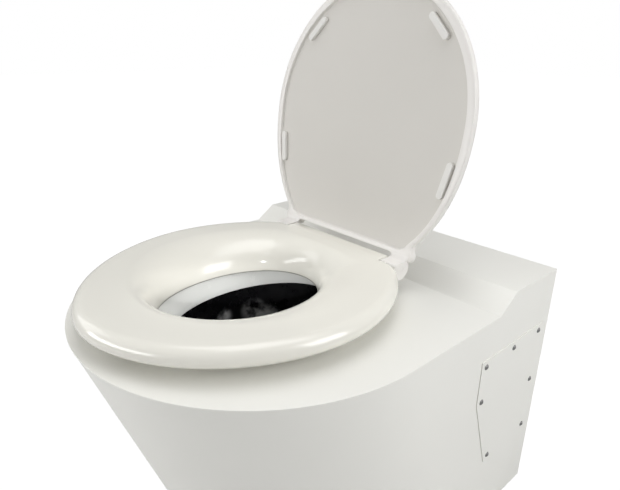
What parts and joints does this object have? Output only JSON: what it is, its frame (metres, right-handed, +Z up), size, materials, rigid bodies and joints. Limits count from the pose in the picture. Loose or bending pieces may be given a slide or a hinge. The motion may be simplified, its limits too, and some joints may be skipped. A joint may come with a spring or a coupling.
{
  "type": "bariatric toilet",
  "caption": "Wide floor-standing toilet of welded sheet metal with a raked round front, a rear ledge, side access panels, a broad hinged seat and a hinged lid.",
  "frame": {"origin": "on the floor, halfway across the body's width and halfway along its depth", "axes": "+Z up, +Y back to the wall, +X to the right of someone who faces the toilet from the front"},
  "size_m": [0.6178, 0.689, 0.9063],
  "materials": {
    "body_white": "satin white powder coat",
    "collar_white": "light grey-white gloss coat",
    "bowl_black": "glossy black coat",
    "frame_steel": "mill finish",
    "pipe_steel": "brushed",
    "fixing_steel": "plated",
    "black_rubber": "matt black",
    "seat_plastic": "gloss ivory white",
    "lid_plastic": "satin ivory white",
    "bumper_plastic": "satin white"
  },
  "bodies": {
    "pan": {"deck": "body_white", "skirt": "body_white", "back_plate": "body_white", "base_frame": "frame_steel", "support_legs": "frame_steel", "deck_rail_left": "frame_steel", "deck_rail_right": "frame_steel", "rim_collar": "collar_white", "rim_box": "bowl_black", "bowl": "bowl_black", "trap_bend": "pipe_steel", "trap_outlet": "pipe_steel", "outlet_spigot": "pipe_steel", "outlet_seal": "black_rubber", "flush_pipe": "pipe_steel", "flush_seal": "black_rubber", "access_panel_left": "body_white", "access_panel_right": "body_white", "panel_screws_left": "fixing_steel", "panel_screws_right": "fixing_steel", "panel_inserts_left": "fixing_steel", "panel_inserts_right": "fixing_steel", "hinge_post_left": "fixing_steel", "hinge_post_right": "fixing_steel", "hinge_rod": "fixing_steel", "hinge_bolts": "fixing_steel", "post_gaskets": "black_rubber", "hinge_washers": "fixing_steel", "hinge_nuts": "fixing_steel", "hinge_backing_plates": "frame_steel"},
    "seat": {"seat": "seat_plastic", "seat_bumpers": "bumper_plastic"},
    "lid": {"lid": "lid_plastic", "lid_bumpers": "bumper_plastic", "hinge_caps": "lid_plastic"}
  },
  "joints": [
    {"name": "seat_hinge", "type": "hinge", "parent": "pan", "child": "seat", "pos_m": [0, 0.12, 0.459], "axis": [-1, 0, 0], "range_deg": [0, 95]},
    {"name": "lid_hinge", "type": "hinge", "parent": "pan", "child": "lid", "pos_m": [0, 0.12, 0.459], "axis": [1, 0, 0], "range_deg": [0, 99]}
  ]
}
